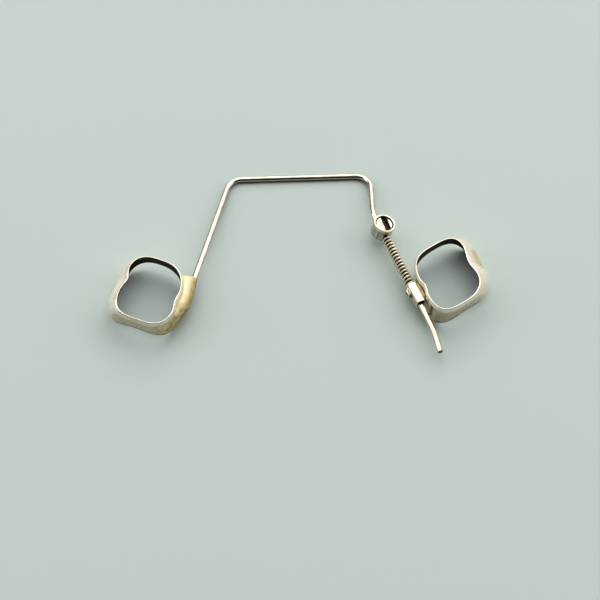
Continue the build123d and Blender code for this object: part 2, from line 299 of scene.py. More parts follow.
def makeSheathSteel():
    look = sheathSteelLook
    material, tree = newMaterial("polishedStainlessSheath")
    place = millimetres(tree)
    cloud = addNode(tree, "ShaderNodeTexNoise", {
        "Vector": place, "Scale": look["cloudPerMm"], "Detail": 3.0})
    tint = addNode(tree, "ShaderNodeValToRGB", {"Fac": cloud.outputs["Fac"]},
                   stops=[(0.36, look["warm"]), (0.56, look["bright"])])
    across = addNode(tree, "ShaderNodeVectorMath", {0: place, 1: tuple(guideCheek)},
                     operation="DOT_PRODUCT")
    ahead = addNode(tree, "ShaderNodeVectorMath", {
        0: place, 1: tuple(guideDir / look["lineStretch"])}, operation="DOT_PRODUCT")
    lines = addNode(tree, "ShaderNodeCombineXYZ", {
        "X": across.outputs["Value"], "Y": ahead.outputs["Value"]})
    line = addNode(tree, "ShaderNodeTexNoise", {
        "Vector": lines.outputs[0], "Scale": 1 / look["lineMm"], "Detail": 2.0})
    bump = addNode(tree, "ShaderNodeBump", {
        "Height": line.outputs["Fac"], "Strength": 0.4, "Distance": look["lineDepthMm"] * mm})
    rough = addNode(tree, "ShaderNodeMapRange", {
        "Value": cloud.outputs["Fac"], "To Min": look["rough"], "To Max": look["smooth"]})
    closeMaterial(tree, tint.outputs["Color"], rough.outputs["Result"], bump.outputs["Normal"])
    return material


# Pale gold hard solder, flowed by a torch: cream on its high side as a painted highlight, gold and then
# olive brown lower down as painted shade. The paleness attribute says which, and fine streaks break it up.
solderLook = {
    "cream": "#DDD0A8", "gold": "#D6C188", "brown": "#BC9F60", "olive": "#7A6C3E", "streakMm": 0.3,
    "streakStretch": (1, 7.0, 1.2), "streakShare": 0.44, "lumpMm": 0.5, "lumpDepthMm": 0.018,
    "smooth": 0.38, "rough": 0.48, "metal": 0.6,
}


def makeSolder():
    look = solderLook
    material, tree = newMaterial("torchFlowedSolder")
    place = millimetres(tree, look["streakStretch"])
    streak = addNode(tree, "ShaderNodeTexNoise", {
        "Vector": place, "Scale": 1 / look["streakMm"], "Detail": 3.0, "Roughness": 0.5})
    pale = addNode(tree, "ShaderNodeAttribute", attribute_name="paleness")
    streaked = addNode(tree, "ShaderNodeMapRange", {
        "Value": streak.outputs["Fac"], "From Min": 0.3, "From Max": 0.7,
        "To Min": -look["streakShare"] / 2, "To Max": look["streakShare"] / 2})
    share = addNode(tree, "ShaderNodeMath", {0: pale.outputs["Fac"], 1: streaked.outputs["Result"]},
                    operation="ADD")
    tint = addNode(tree, "ShaderNodeValToRGB", {"Fac": share.outputs[0]}, stops=[
        (0.08, look["olive"]), (0.26, look["brown"]), (0.48, look["gold"]), (0.7, look["cream"])])
    lump = addNode(tree, "ShaderNodeTexNoise", {
        "Vector": place, "Scale": 1 / look["lumpMm"], "Detail": 2.0})
    bump = addNode(tree, "ShaderNodeBump", {
        "Height": lump.outputs["Fac"], "Strength": 0.6, "Distance": look["lumpDepthMm"] * mm})
    rough = addNode(tree, "ShaderNodeMapRange", {
        "Value": share.outputs[0], "To Min": look["rough"], "To Max": look["smooth"]})
    closeMaterial(tree, tint.outputs["Color"], rough.outputs["Result"], bump.outputs["Normal"],
                  look["metal"])
    return material


# Painted shade in bores, gaps and slots: dark brown and dull
recessShadeLook = {
    "dark": "#120F0A", "brown": "#57462A", "patchMm": 0.7, "rough": 0.55, "metal": 0.5, "gloss": 0.2,
}


def makeRecessShade():
    look = recessShadeLook
    material, tree = newMaterial("paintedRecessShade")
    patch = addNode(tree, "ShaderNodeTexNoise", {
        "Vector": millimetres(tree), "Scale": 1 / look["patchMm"], "Detail": 3.0})
    tint = addNode(tree, "ShaderNodeValToRGB", {"Fac": patch.outputs["Fac"]},
                   stops=[(0.36, look["dark"]), (0.64, look["brown"])])
    closeMaterial(tree, tint.outputs["Color"], look["rough"], None, look["metal"], look["gloss"])
    return material


bandSteel = makeBandSteel()
shadedInside = makeShadedInside()
wireSteel = makeWireSteel()
springSteel = makeSpringSteel()
turnedSteel = makeTurnedSteel()
sheathSteel = makeSheathSteel()
goldSolder = makeSolder()
recessShade = makeRecessShade()
print("materials made")


def smoothShade(mesh, sharpDegrees):
    mesh.shade_smooth()
    mesh.set_sharp_from_angle(angle=math.radians(sharpDegrees))


# A piece at the origin, its place in its mesh, with smooth faces and sharp edges above an angle.
# A mesh that Geometry Nodes made has its material already.
def addPiece(name, mesh, materials, sharpDegrees=35):
    mesh.name = name
    if not mesh.materials:
        for material in materials:
            mesh.materials.append(material)
    smoothShade(mesh, sharpDegrees)
    piece = bpy.data.objects.new(name, mesh)
    bpy.context.scene.collection.objects.link(piece)
    return piece


def finishPiece(piece, body, node):
    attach(piece, body)
    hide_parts(node)


# Stores one value for each point of a mesh, for its material or its nodes to read
def paint(mesh, label, values):
    attribute = mesh.attributes.new(label, "FLOAT", "POINT")
    attribute.data.foreach_set("value", values)


# A mesh from points and faces, with its faces turned outwards. paints are values at its points, by
# name.
def meshFrom(name, points, faces, faceMaterials=None, paints=None):
    mesh = bpy.data.meshes.new(name)
    mesh.from_pydata([tuple(p) for p in points], [], faces)
    if faceMaterials:
        mesh.polygons.foreach_set("material_index", faceMaterials)
    for label, values in (paints or {}).items():
        paint(mesh, label, values)
    shape = bmesh.new()
    shape.from_mesh(mesh)
    bmesh.ops.remove_doubles(shape, verts=shape.verts, dist=1e-7)
    bmesh.ops.recalc_face_normals(shape, faces=shape.faces)
    shape.to_mesh(mesh)
    shape.free()
    return mesh


# Faces of a grid of rows that closes on itself round each row, and from the last row to the first
# if looped
def gridFaces(rowCount, rowLength, looped):
    faces = []
    for row in range(rowCount if looped else rowCount - 1):
        after = (row + 1) % rowCount
        for step in range(rowLength):
            beside = (step + 1) % rowLength
            faces.append((row * rowLength + step, row * rowLength + beside,
                          after * rowLength + beside, after * rowLength + step))
    return faces


# The same grid, not looped, with a flat cap on each end
def cappedFaces(rowCount, rowLength):
    lastRow = (rowCount - 1) * rowLength
    caps = [tuple(range(rowLength)), tuple(range(lastRow, lastRow + rowLength))]
    return gridFaces(rowCount, rowLength, looped=False) + caps


# Turns a profile of (radius, height) in millimetres about an axis
def turnedMesh(name, profile, centre, axis, segments):
    side = guideDir
    other = axis.cross(side)
    points = []
    for radius, height in profile:
        for step in range(segments):
            angle = 2 * math.pi * step / segments
            reach = side * math.cos(angle) + other * math.sin(angle)
            points.append(centre + axis * (height * mm) + reach * (radius * mm))
    return meshFrom(name, points, gridFaces(len(profile), segments, looped=False))


def addCutter(points, faces):
    cutter = bpy.data.objects.new("cutter", meshFrom("cutter", points, faces))
    bpy.context.scene.collection.objects.link(cutter)
    return cutter


# Cuts one mesh object out of another and removes the cutter
def cutAway(piece, cutter):
    modifier = piece.modifiers.new("cut", "BOOLEAN")
    modifier.operation = "DIFFERENCE"
    modifier.solver = "EXACT"
    modifier.object = cutter
    graph = bpy.context.evaluated_depsgraph_get()
    mesh = bpy.data.meshes.new_from_object(piece.evaluated_get(graph))
    piece.modifiers.remove(modifier)
    piece.data = mesh
    bpy.data.objects.remove(cutter)


def softEdge(low, high, value):
    share = min(1.0, max(0.0, (value - low) / (high - low)))
    return share * share * (3 - 2 * share)


# One between a soft rise and a soft fall, each given by where it starts and ends
def window(value, rise, fall):
    return softEdge(*rise, value) * (1 - softEdge(*fall, value))


# An uneven offset for the edge of a stain, of a size and a depth in millimetres
def raggedEdge(point, size, depth):
    return noise.noise(point / (size * mm)) * depth


# Molar bands: what both share, then each one's own form, in millimetres. A groove is its depth, its
# place ahead of the seat's middle, its width and how soft its bottom is. A dent is its place ahead,
# its height, its radius and its depth. filmTop and filmFoot are the angles round the two edges at
# which the dark inside, painted shade, starts.
bandForm = {
    "wall": 0.18, "height": 4.2, "rimLength": 10.5, "rimWidth": 8.8, "bulgeHeight": 1.75,
    "bulgeProximal": 0.38, "bulgeTongue": 0.08, "marginProximal": 0.15, "marginTongue": 0.05,
    "bulgeGroove": 0.2, "scoopRadius": 6.5, "scoopRise": 2.0, "waveDepth": 0.02, "waveMm": 1.7,
    "waveFoot": 0.4, "waveTop": 0.5, "rimRoll": 0.07, "rollRise": (0.05, 0.35), "rollFall": (0.4, 1.4),
    "burnished": 0.08, "filmTop": 2.2, "filmFoot": 1.6, "turns": 192, "wallRows": 44, "edgeRows": 8,
}
leftBand = {
    "seat": seats["left_band_seat"], "angle": -14.0, "cheekSign": 1, "cornerPower": 2.8,
    "backCheekPower": 4.0, "skew": 0.125, "bulgeCheek": 1.5, "marginCheek": 1.1,
    "cheekGroove": (0.65, 0.53, 1.3, 1.6), "tongueGroove": (0.3, -0.41, 1.2, 2.0),
    "dents": [(1.6, 2.9, 0.35, 0.05), (0.7, 2.2, 0.3, 0.04)],
}
rightBand = {
    "seat": seats["right_band_seat"], "angle": 22.2, "cheekSign": -1, "cornerPower": 3.3,
    "backCheekPower": 2.7, "skew": 0.19, "bulgeCheek": 1.95, "marginCheek": 1.65,
    "cheekGroove": (0.75, -0.1, 2.2, 2.0), "tongueGroove": (0.35, 0.11, 0.9, 2.0),
    "dents": [(1.5, 2.7, 0.32, 0.06), (0.5, 2.3, 0.35, 0.06), (-0.4, 2.8, 0.3, 0.05),
              (0.9, 1.5, 0.3, 0.04)],
}


def heading(angle):
    return Vector((math.sin(math.radians(angle)), -math.cos(math.radians(angle)), 0))


# A value on the one smooth curve through its values at the margin, the bulge and the rim
def wallValue(height, atMargin, atBulge, atRim):
    top = bandForm["height"]
    bulge = bandForm["bulgeHeight"]
    marginTerm = atMargin * (height - bulge) * (height - top) / (bulge * top)
    bulgeTerm = atBulge * height * (height - top) / (bulge * (bulge - top))
    rimTerm = atRim * height * (height - bulge) / (top * (top - bulge))
    return marginTerm + bulgeTerm + rimTerm


# Where the wall's outside is at a height and a turn: millimetres ahead of and across from the seat
def wallPlace(band, height, turn):
    form = bandForm
    onCheek = math.sin(turn) > 0
    halfLength = form["rimLength"] / 2
    halfLength += wallValue(height, form["marginProximal"], form["bulgeProximal"], 0)
    halfWidth = form["rimWidth"] / 2
    if onCheek:
        halfWidth += wallValue(height, band["marginCheek"], band["bulgeCheek"], 0)
    else:
        halfWidth += wallValue(height, form["marginTongue"], form["bulgeTongue"], 0)
    power = band["backCheekPower"] if onCheek and math.cos(turn) < 0 else band["cornerPower"]
    lengthTerm = abs(math.cos(turn) / halfLength) ** power
    widthTerm = abs(math.sin(turn) / halfWidth) ** power
    reach = (lengthTerm + widthTerm) ** (-1 / power)
    ahead = reach * math.cos(turn)
    across = reach * math.sin(turn)
    depth, place, width, softness = band["cheekGroove"] if onCheek else band["tongueGroove"]
    dip = wallValue(height, 0, form["bulgeGroove"], 1) * depth
    dip *= math.exp(-(abs((ahead - place) / width) ** softness))
    across += -dip if onCheek else dip
    return Vector((ahead + band["skew"] * across, across))


# The same place moved inwards through the wall
def insetPlace(band, height, turn, inset):
    step = 0.02
    run = wallPlace(band, height, turn + step) - wallPlace(band, height, turn - step)
    inwards = Vector((-run.y, run.x)).normalized()
    return wallPlace(band, height, turn) + inwards * inset


def bandAxes(band):
    ahead = heading(band["angle"]) * -1
    return ahead, up.cross(ahead) * band["cheekSign"]


def bandPoint(band, height, turn, inset):
    ahead, cheek = bandAxes(band)
    place = insetPlace(band, height, turn, inset)
    return band["seat"] + (ahead * place.x + cheek * place.y + up * height) * mm


# The gum-side margin rises in an arch at the front and the back
def marginHeightAt(band, place):
    form = bandForm
    offset = place.y - (band["marginCheek"] - form["marginTongue"]) / 2
    inside = max(0.0, form["scoopRadius"] ** 2 - offset ** 2)
    return max(0.0, form["scoopRise"] - form["scoopRadius"] + math.sqrt(inside))


def marginHeight(band, turn):
    height = bandForm["scoopRise"]
    for _ in range(6):
        height = marginHeightAt(band, wallPlace(band, height, turn))
    return height


# How deep the small weld dents on the cheek side are at a place on the wall
def dentDepth(band, place, height):
    if place.y < 0:
        return 0.0
    total = 0.0
    for ahead, level, radius, depth in band["dents"]:
        away = math.hypot(place.x - ahead, height - level) / radius
        total += depth * math.exp(-away * away)
    return total


# Rows of the wall's section, from the margin up the outside, over the rim and down the inside: the
# share of the way up, the lift and the inset in millimetres, and whether the row is inside
def bandRows():
    form = bandForm
    half = form["wall"] / 2
    rows = []
    for step in range(form["wallRows"]):
        rows.append((step / (form["wallRows"] - 1), 0.0, 0.0, False))
    for step in range(1, form["edgeRows"]):
        bend = math.pi * step / form["edgeRows"]
        rows.append((1.0, half * math.sin(bend), half * (1 - math.cos(bend)), bend > form["filmTop"]))
    for step in range(form["wallRows"]):
        rows.append((1 - step / (form["wallRows"] - 1), 0.0, form["wall"], True))
    for step in range(1, form["edgeRows"]):
        bend = math.pi * step / form["edgeRows"]
        rows.append((0.0, -half * math.sin(bend), half * (1 + math.cos(bend)), bend < form["filmFoot"]))
    return rows


# How far the wall's surface stands out from its plain form: soft waves, dents and the rim's roll
def wallRelief(band, place, height, point):
    form = bandForm
    wave = noise.noise(point / (form["waveMm"] * mm)) * form["waveDepth"]
    wave -= dentDepth(band, place, height)
    wave *= window(height, (0, form["waveFoot"]), (form["height"] - form["waveTop"], form["height"]))
    return wave + form["rimRoll"] * window(form["height"] - height, form["rollRise"], form["rollFall"])


# The last argument gives, for each attribute of the steel, the solder stains and the painted shade alike, the
# function that says how strong it is at a place
def makeBand(name, band, stainsAndShade):
    form = bandForm
    half = form["wall"] / 2
    rows = bandRows()
    turns = form["turns"]
    points = []
    paints = {"burnished": [], **{label: [] for label in stainsAndShade}}
    for share, lift, inset, _ in rows:
        for step in range(turns):
            turn = 2 * math.pi * step / turns
            low = marginHeight(band, turn) + half
            height = low + share * (form["height"] - half - low) + lift
            point = bandPoint(band, height, turn, inset)
            outwards = (point - bandPoint(band, height, turn, inset + 0.1)).normalized()
            place = wallPlace(band, height, turn)
            points.append(point + outwards * (wallRelief(band, place, height, point) * mm))
            paints["burnished"].append(1 - softEdge(0.0, form["burnished"], form["height"] - height))
            for label, stainAt in stainsAndShade.items():
                paints[label].append(stainAt(place, height, point))
    faces = gridFaces(len(rows), turns, looped=True)
    inside = [1 if rows[face[0] // turns][3] else 0 for face in faces]
    mesh = meshFrom(name, points, faces, inside, paints)
    return addPiece(name, mesh, [bandSteel, shadedInside], sharpDegrees=60)


# Where the solder stain and the painted shade start and end on the left band, in millimetres ahead of
# the seat, across to the tongue and up. Each Rag is the size and the depth of an uneven edge.
leftStainsAndShade = {
    "flashRise": (-6.6, -4.2), "flashFall": (3.9, 4.9), "flashTop": (3.1, 3.75),
    "flashTongue": (1.0, 3.2), "flashRag": (0.8, 0.35),
    "shadeOliveBack": (-4.9, -3.6), "shadeOliveTop": (3.4, 4.0), "shadeOliveShare": 0.6, "shadeOliveRag": (0.9, 0.4),
    "paintedShadeBack": (-4.9, -4.2), "paintedShadeFoot": (0.0, 0.5), "paintedShadeShare": 0.8, "paintedShadeRag": (0.6, 0.25),
}


# Solder has run over the tongue side of the left band
def leftFlash(place, height, point):
    where = leftStainsAndShade
    ragged = raggedEdge(point, *where["flashRag"])
    along = window(place.x, where["flashRise"], where["flashFall"])
    low = 1 - softEdge(*where["flashTop"], height - ragged)
    return along * low * softEdge(*where["flashTongue"], 2 * ragged - place.y)


# Painted olive shade lies along its back wall
def leftOliveShade(place, height, point):
    where = leftStainsAndShade
    ragged = raggedEdge(point, *where["shadeOliveRag"])
    back = 1 - softEdge(*where["shadeOliveBack"], place.x + ragged)
    return where["shadeOliveShare"] * back * (1 - softEdge(*where["shadeOliveTop"], height))


# Painted shade lies along the foot of a back wall
def footShade(band, where, place, height, ragged):
    foot = 1 - softEdge(*where["paintedShadeFoot"], height + ragged - marginHeightAt(band, place))
    return where["paintedShadeShare"] * foot * (1 - softEdge(*where["paintedShadeBack"], place.x))


def leftShade(place, height, point):
    ragged = raggedEdge(point, *leftStainsAndShade["paintedShadeRag"])
    return footShade(leftBand, leftStainsAndShade, place, height, ragged)


leftBandPiece = makeBand("leftMolarBand", leftBand, {
    "goldFlash": leftFlash, "oliveShade": leftOliveShade, "paintedShade": leftShade})
finishPiece(leftBandPiece, "arch", "left_molar_band")
print("left band made")

# Arch wire: its corners follow from the stop back to the soldered left end, in millimetres.
# frontFade is how far behind the front run its painted shade starts and is full, and flankFade is how
# far the surface faces down there.
archWire = {
    "radius": 0.45, "bendToStop": 3.27, "rise": 1.55, "rightAngle": 0.7, "rightLength": 8.06,
    "frontSlant": 2.0, "frontWidth": 21.74, "leftAngle": -14.0, "leftLength": 19.45, "soldered": 5.0,
    "frontBend": 2.4, "guideBend": 4.5, "stopToTail": 15.36, "tailRadius": 30.0, "tailTurn": 11.0,
    "tailStub": 0.95, "endTaper": 0.1, "endShare": 0.78, "ringPoints": 32, "bendPoints": 24,
    "springFade": 0.3, "guideReach": 1.0, "edgeDarkening": 0.85, "frontFade": (-5.0, -1.5),
    "flankFade": (-0.5, -0.1),
}
springForm = {
    "wireRadius": 0.13, "meanRadius": 0.635, "turns": 15.5, "length": 8.91, "endGap": 0.03,
    "stopRadius": 1.58, "stepsPerTurn": 40, "ringPoints": 14,
}
springStart = springForm["stopRadius"] + springForm["endGap"]
springEnd = springStart + springForm["length"]


# Each corner is its place, its bend's radius and the share of the wire's thickness there
def wireCorners():
    wire = archWire
    climb = up * wire["rise"]
    stop = stopCentre / mm
    guideBend = stop - guideDir * wire["bendToStop"]
    frontRight = guideBend - climb - heading(wire["rightAngle"]) * wire["rightLength"]
    slant = math.radians(wire["frontSlant"])
    frontLeft = frontRight - Vector((math.cos(slant), math.sin(slant), 0)) * wire["frontWidth"]
    leftExit = frontLeft + heading(wire["leftAngle"]) * wire["leftLength"] + climb
    leftEnd = leftExit + (leftExit - frontLeft).normalized() * wire["soldered"]
    tailLeg = wire["tailRadius"] * math.tan(math.radians(wire["tailTurn"] / 2))
    tailCorner = stop + guideDir * (wire["stopToTail"] + tailLeg)
    tailDir = Matrix.Rotation(math.radians(-wire["tailTurn"]), 3, "Z") @ guideDir
    taperStart = tailCorner + tailDir * (tailLeg + wire["tailStub"] - wire["endTaper"])
    tailEnd = taperStart + tailDir * wire["endTaper"]
    return [(leftEnd, 0, 1), (frontLeft, wire["frontBend"], 1), (frontRight, wire["frontBend"], 1),
            (guideBend, wire["guideBend"], 1), (tailCorner, wire["tailRadius"], 1),
            (taperStart, 0, 1), (tailEnd, 0, wire["endShare"])]


# A node group with named inputs; the caller adds its nodes between the two ends
def newNodeGroup(name, inputs):
    group = bpy.data.node_groups.new(name, "GeometryNodeTree")
    group.interface.new_socket("Geometry", in_out="INPUT", socket_type="NodeSocketGeometry")
    for label, kind in inputs.items():
        group.interface.new_socket(label, in_out="INPUT", socket_type=kind)
    group.interface.new_socket("Geometry", in_out="OUTPUT", socket_type="NodeSocketGeometry")
    return group, addNode(group, "NodeGroupInput").outputs


def endNodeGroup(group, geometry, material):
    smooth = addNode(group, "GeometryNodeSetShadeSmooth", {"Geometry": geometry})
    real = addNode(group, "GeometryNodeRealizeInstances", {"Geometry": smooth.outputs[0]})
    painted = addNode(group, "GeometryNodeSetMaterial", {
        "Geometry": real.outputs[0], "Material": material})
    addNode(group, "NodeGroupOutput", {"Geometry": painted.outputs[0]})


# Runs a node group on a mesh and gives back the plain mesh that it makes
def meshFromNodes(group, base, values):
    holder = bpy.data.objects.new("nodeHolder", base)
    bpy.context.scene.collection.objects.link(holder)
    modifier = holder.modifiers.new("nodes", "NODES")
    modifier.node_group = group
    for item in group.interface.items_tree:
        if item.in_out == "INPUT" and item.name in values:
            modifier[item.identifier] = values[item.name]
    graph = bpy.context.evaluated_depsgraph_get()
    mesh = bpy.data.meshes.new_from_object(holder.evaluated_get(graph))
    holder.modifiers.remove(modifier)
    bpy.data.objects.remove(holder)
    return mesh


# Bends a line of corners to their own radii and sweeps a ring along it
def bentWireNodes():
    group, given = newNodeGroup("bentWire", {
        "wireRadius": "NodeSocketFloat", "ringPoints": "NodeSocketInt", "bendPoints": "NodeSocketInt"})
    line = addNode(group, "GeometryNodeMeshToCurve", {"Mesh": given["Geometry"]})
    bend = addNode(group, "GeometryNodeInputNamedAttribute", {"Name": "bendRadius"}, data_type="FLOAT")
    bent = addNode(group, "GeometryNodeFilletCurve", {
        "Curve": line.outputs[0], "Count": given["bendPoints"], "Radius": bend.outputs[0],
        "Limit Radius": True}, mode="POLY")
    along = addNode(group, "GeometryNodeSplineParameter")
    measured = addNode(group, "GeometryNodeStoreNamedAttribute", {
        "Geometry": bent.outputs[0], "Name": "alongWire", "Value": along.outputs["Length"]},
        data_type="FLOAT", domain="POINT")
    ring = addNode(group, "GeometryNodeCurvePrimitiveCircle", {
        "Resolution": given["ringPoints"], "Radius": given["wireRadius"]}, mode="RADIUS")
    around = addNode(group, "GeometryNodeSplineParameter")
    ringMeasured = addNode(group, "GeometryNodeStoreNamedAttribute", {
        "Geometry": ring.outputs[0], "Name": "aroundWire", "Value": around.outputs["Length"]},
        data_type="FLOAT", domain="POINT")
    taper = addNode(group, "GeometryNodeInputNamedAttribute", {"Name": "taper"}, data_type="FLOAT")
    swept = addNode(group, "GeometryNodeCurveToMesh", {
        "Curve": measured.outputs[0], "Profile Curve": ringMeasured.outputs[0],
        "Scale": taper.outputs[0], "Fill Caps": True})
    endNodeGroup(group, swept.outputs[0], wireSteel)
    return group


def makeArchWire():
    corners = wireCorners()
    line = bpy.data.meshes.new("wireLine")
    line.from_pydata([tuple(place * mm) for place, _, _ in corners],
                     [(k, k + 1) for k in range(len(corners) - 1)], [])
    paint(line, "bendRadius", [radius * mm for _, radius, _ in corners])
    paint(line, "taper", [share for _, _, share in corners])
    return meshFromNodes(bentWireNodes(), line, {
        "wireRadius": archWire["radius"] * mm, "ringPoints": archWire["ringPoints"],
        "bendPoints": archWire["bendPoints"]})


# Splits the guide into short lengths so that the painted shade under the spring can start and stop
# where the spring does. The cut end of the tail is darkened too, and shade is painted on the lower
# flanks of the front run, which face down.
def paintWireShade(mesh):
    wire = archWire
    rise = (springStart - wire["springFade"], springStart)
    fall = (springEnd, springEnd + wire["springFade"])
    shape = bmesh.new()
    shape.from_mesh(mesh)
    for place in (*rise, *fall):
        geometry = shape.verts[:] + shape.edges[:] + shape.faces[:]
        bmesh.ops.bisect_plane(shape, geom=geometry, plane_co=stopCentre + guideDir * (place * mm),
                               plane_no=guideDir)
    shape.to_mesh(mesh)
    shape.free()
    corners = wireCorners()
    frontLine = corners[1][0].y
    tailEnd = corners[-1][0]
    values = []
    for vertex in mesh.vertices:
        spot = vertex.co / mm
        offset = (vertex.co - stopCentre) / mm
        place = offset.dot(guideDir)
        near = (offset - guideDir * place).length < wire["guideReach"]
        under = window(place, rise, fall) if near else 0.0
        cut = wire["edgeDarkening"] if (spot - tailEnd).length < wire["radius"] else 0.0
        flank = wire["edgeDarkening"] * softEdge(*wire["frontFade"], spot.y - frontLine)
        flank *= softEdge(*wire["flankFade"], -vertex.normal.z)
        values.append(max(under, cut, flank))
    paint(mesh, "wireShade", values)


wireMesh = makeArchWire()
paintWireShade(wireMesh)
wirePiece = addPiece("archWire", wireMesh, [wireSteel], sharpDegrees=40)
finishPiece(wirePiece, "arch", "arch_wire")
print("arch wire made")


# Winds a coil about +Z and lays it along the guide
def coilNodes():
    group, given = newNodeGroup("openCoil", {
        "turns": "NodeSocketFloat", "steps": "NodeSocketInt", "meanRadius": "NodeSocketFloat",
        "rise": "NodeSocketFloat", "wireRadius": "NodeSocketFloat", "ringPoints": "NodeSocketInt",
        "place": "NodeSocketVector", "turnTo": "NodeSocketRotation"})
    coil = addNode(group, "GeometryNodeCurveSpiral", {
        "Resolution": given["steps"], "Rotations": given["turns"], "Start Radius": given["meanRadius"],
        "End Radius": given["meanRadius"], "Height": given["rise"], "Reverse": True})
    ring = addNode(group, "GeometryNodeCurvePrimitiveCircle", {
        "Resolution": given["ringPoints"], "Radius": given["wireRadius"]}, mode="RADIUS")
    wound = addNode(group, "GeometryNodeCurveToMesh", {
        "Curve": coil.outputs[0], "Profile Curve": ring.outputs[0], "Fill Caps": True})
    laid = addNode(group, "GeometryNodeTransform", {
        "Geometry": wound.outputs[0], "Translation": given["place"], "Rotation": given["turnTo"]})
    endNodeGroup(group, laid.outputs[0], springSteel)
    return group


def makeSpring():
    form = springForm
    rise = form["length"] - 2 * form["wireRadius"]
    start = stopCentre + guideDir * ((springStart + form["wireRadius"]) * mm)
    basis = Matrix((guideCheek, guideDir.cross(guideCheek), guideDir)).transposed()
    return meshFromNodes(coilNodes(), bpy.data.meshes.new("coilBase"), {
        "turns": form["turns"], "steps": form["stepsPerTurn"], "meanRadius": form["meanRadius"] * mm,
        "rise": rise * mm, "wireRadius": form["wireRadius"] * mm, "ringPoints": form["ringPoints"],
        "place": tuple(start), "turnTo": tuple(basis.to_euler())})


springPiece = addPiece("openCoilSpring", makeSpring(), [springSteel], sharpDegrees=40)
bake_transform(springPiece)
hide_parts("open_coil_spring")
print("spring made")

# Screw stop: a turned collar on the wire and a slotted screw in it, heights in millimetres above the
# wire's middle. The recess values say which faces are dark with painted shade.
stopForm = {
    "radius": 1.58, "rimRadius": 1.66, "rimHeight": 0.5, "rimStep": 0.02, "above": 1.75, "below": 1.0,
    "bottomChamfer": 0.45, "boreRadius": 1.35, "boreFloor": 0.225, "wireBore": 0.5, "edge": 0.07,
    "segments": 96, "boreSegments": 48, "recessShadeReach": 0.012, "recessShadeFoot": -0.55, "sharpDegrees": 30,
}
screwForm = {
    "radius": 1.3, "top": 1.55, "tip": 0.49, "tipChamfer": 0.2, "topChamfer": 0.12, "slotWidth": 0.95,
    "slotDepth": 0.5, "slotOffset": 0.3, "slotTurn": -5.0, "slotLip": 0.06, "lipRise": 0.02,
    "cutterRise": 1.0, "segments": 96, "recessShadeBelow": 0.075,
}


# A corner of a turned profile, rounded by a few points
def roundedCorner(radius, height, edge, fromAngle, toAngle, count=5):
    points = []
    for step in range(count):
        angle = math.radians(fromAngle + (toAngle - fromAngle) * step / (count - 1))
        points.append((radius + edge * math.cos(angle), height + edge * math.sin(angle)))
    return points


def collarProfile():
    form = stopForm
    edge = form["edge"]
    radius = form["radius"]
    bottom = -form["below"]
    rimFoot = form["above"] - form["rimHeight"]
    chamfer = form["bottomChamfer"]
    profile = [(onAxis, bottom), (radius - chamfer - edge, bottom)]
    profile += roundedCorner(radius - chamfer - edge, bottom + edge, edge, -90, -45)
    profile += roundedCorner(radius - edge, bottom + chamfer + edge / 2, edge, -45, 0)
    profile += [(radius, rimFoot - edge / 2), (radius + form["rimStep"], rimFoot)]
    profile += roundedCorner(form["rimRadius"] - edge / 2, rimFoot + edge / 2, edge / 2, -90, 0)
    profile += roundedCorner(form["rimRadius"] - edge, form["above"] - edge, edge, 0, 90)
    profile += roundedCorner(form["boreRadius"] + edge, form["above"] - edge, edge, 90, 180)
    profile += [(form["boreRadius"], form["boreFloor"]), (onAxis, form["boreFloor"])]
    return profile


def screwProfile():
    form = screwForm
    chamfer = form["topChamfer"]
    profile = [(onAxis, form["tip"]), (form["radius"] - form["tipChamfer"], form["tip"]),
               (form["radius"], form["tip"] + form["tipChamfer"])]
    profile += roundedCorner(form["radius"] - chamfer, form["top"] - chamfer, chamfer, 0, 90)
    profile += [(onAxis, form["top"])]
    return profile


# A plain round cutter through the stop's middle
def boreCutter(axis, radius, halfLength):
    side = up.cross(axis).normalized()
    other = axis.cross(side)
    count = stopForm["boreSegments"]
    points = []
    for end in (-halfLength, halfLength):
        for step in range(count):
            angle = 2 * math.pi * step / count
            reach = (side * math.cos(angle) + other * math.sin(angle)) * radius
            points.append(stopCentre + (axis * end + reach) * mm)
    return addCutter(points, cappedFaces(2, count))


def makeCollar():
    form = stopForm
    mesh = turnedMesh("collar", collarProfile(), stopCentre, stopAxis, form["segments"])
    piece = addPiece("stopCollar", mesh, [turnedSteel])
    cutAway(piece, boreCutter(guideDir, form["wireBore"], 2 * form["rimRadius"]))
    return piece


# A long box with softened corners across the screw's head
def slotCutter():
    form = screwForm
    along = Matrix.Rotation(math.radians(form["slotTurn"]), 3, stopAxis) @ guideDir
    slotSide = stopAxis.cross(along)
    slotMiddle = stopAxis.cross(guideDir) * form["slotOffset"]
    half = form["slotWidth"] / 2
    top = form["top"]
    low = top - form["slotDepth"]
    lip = form["slotLip"]
    halfSection = [(half - lip, low), (half, low + lip), (half, top - lip),
                   (half + lip, top + form["lipRise"]), (half + lip, top + form["cutterRise"])]
    otherHalf = [(-side, height) for side, height in reversed(halfSection)]
    section = otherHalf[1:] + halfSection + otherHalf[:1]
    points = []
    for end in (-2 * form["radius"], 2 * form["radius"]):
        for side, height in section:
            across = slotSide * side + slotMiddle
            points.append(stopCentre + (along * end + across + stopAxis * height) * mm)
    return addCutter(points, cappedFaces(2, len(section)))


# Gives the second material, painted shade, to the faces whose middle passes a test on its distance
# from the stop's axis and its height
def markRecessShade(piece, test):
    mesh = piece.data
    mesh.materials.clear()
    mesh.materials.append(turnedSteel)
    mesh.materials.append(recessShade)
    for face in mesh.polygons:
        offset = (face.center - stopCentre) / mm
        height = offset.dot(stopAxis)
        outwards = offset - stopAxis * height
        face.material_index = 1 if test(outwards.length, height) else 0


def inCollarBore(away, height):
    form = stopForm
    return away < form["boreRadius"] + form["recessShadeReach"] and height > form["recessShadeFoot"]


def belowScrewTop(away, height):
    return height < screwForm["top"] - screwForm["recessShadeBelow"]


